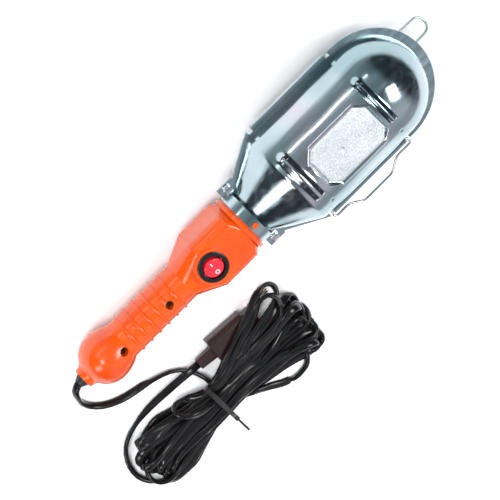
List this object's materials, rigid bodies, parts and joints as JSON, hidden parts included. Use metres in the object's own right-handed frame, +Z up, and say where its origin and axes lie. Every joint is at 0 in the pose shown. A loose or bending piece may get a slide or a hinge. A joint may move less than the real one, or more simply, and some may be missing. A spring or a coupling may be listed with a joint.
{
  "type": "inspection lamp",
  "caption": "Hand-held inspection lamp with moulded grip, rocker switch, half-round steel reflector, hinged wire guard, hanging loop and tied mains cord with plug.",
  "frame": {"origin": "on the surface that the lamp lies on, straight below the middle of the grip's neck flange", "axes": "+X along the lamp towards its hanging loop, +Z up, +Y towards the guard's hinge side"},
  "size_m": [0.3787, 0.1742, 0.078],
  "materials": {
    "orange_plastic": "glossy moulded shell",
    "black_rubber": "satin",
    "black_pvc": "satin cord sheath",
    "black_nylon": "moulded nylon",
    "black_gloss": "polished moulding",
    "red_gloss": "polished moulding",
    "brass": "stamped",
    "cap_aluminium": "thin pressed cap",
    "bulb_glass": "clear blown glass",
    "tungsten": "stem and filament",
    "brown_wire": "core insulation",
    "blue_wire": "core insulation",
    "black_bakelite": "moulded holder",
    "zinc_sheet": "bright zinc plated sheet",
    "zinc_wire": "bright zinc plated wire",
    "zinc_screws": "zinc plated",
    "brown_pvc": "moulded plug",
    "plug_nickel": "nickel plated pins"
  },
  "bodies": {
    "lamp": {"handle_top": "orange_plastic", "handle_bottom": "orange_plastic", "handle_screws": "zinc_screws", "cord_relief": "black_rubber", "inner_cord": "black_pvc", "cord_clamp": "black_nylon", "clamp_screws": "zinc_screws", "switch_housing": "black_gloss", "switch_spades": "brass", "live_wire": "brown_wire", "neutral_wire": "blue_wire", "switched_wire": "brown_wire", "lamp_holder": "black_bakelite", "threaded_shell": "brass", "centre_contact": "brass", "bulb_cap": "cap_aluminium", "bulb_glass": "bulb_glass", "filament_mount": "tungsten", "reflector": "zinc_sheet", "neck_clamp": "zinc_sheet", "clamp_bolts": "zinc_screws", "clamp_nuts": "zinc_screws", "cord_lead": "black_pvc", "cord_hank": "black_pvc", "cord_tie": "black_nylon", "plug_lead": "black_pvc", "plug_body": "brown_pvc", "plug_pins": "plug_nickel"},
    "guard": {"guard_frame": "zinc_sheet", "guard_hoops": "zinc_wire", "guard_rails": "zinc_wire", "guard_catch": "zinc_sheet", "hinge_rod": "zinc_wire", "loop_bar": "zinc_wire"},
    "latch": {"latch_bail": "zinc_wire"},
    "loop": {"hanging_loop": "zinc_wire"},
    "switch_rocker": {"rocker": "red_gloss"}
  },
  "joints": [
    {"name": "guard_hinge", "type": "hinge", "parent": "lamp", "child": "guard", "pos_m": [0.0858, 0.045, 0.03489], "axis": [0.9977, 0, 0.068], "range_deg": [0, 105]},
    {"name": "latch_swing", "type": "hinge", "parent": "lamp", "child": "latch", "pos_m": [0.0858, -0.045, 0.03489], "axis": [0.9977, 0, 0.068], "range_deg": [-85, 82]},
    {"name": "loop_swing", "type": "hinge", "parent": "guard", "child": "loop", "pos_m": [0.16778, 0, 0.01805], "axis": [0, 1, 0], "range_deg": [-45, 60]},
    {"name": "rocker_tilt", "type": "hinge", "parent": "lamp", "child": "switch_rocker", "pos_m": [-0.03732, 0, 0.04714], "axis": [-0.9977, 0, -0.068], "range_deg": [0, 24]}
  ]
}
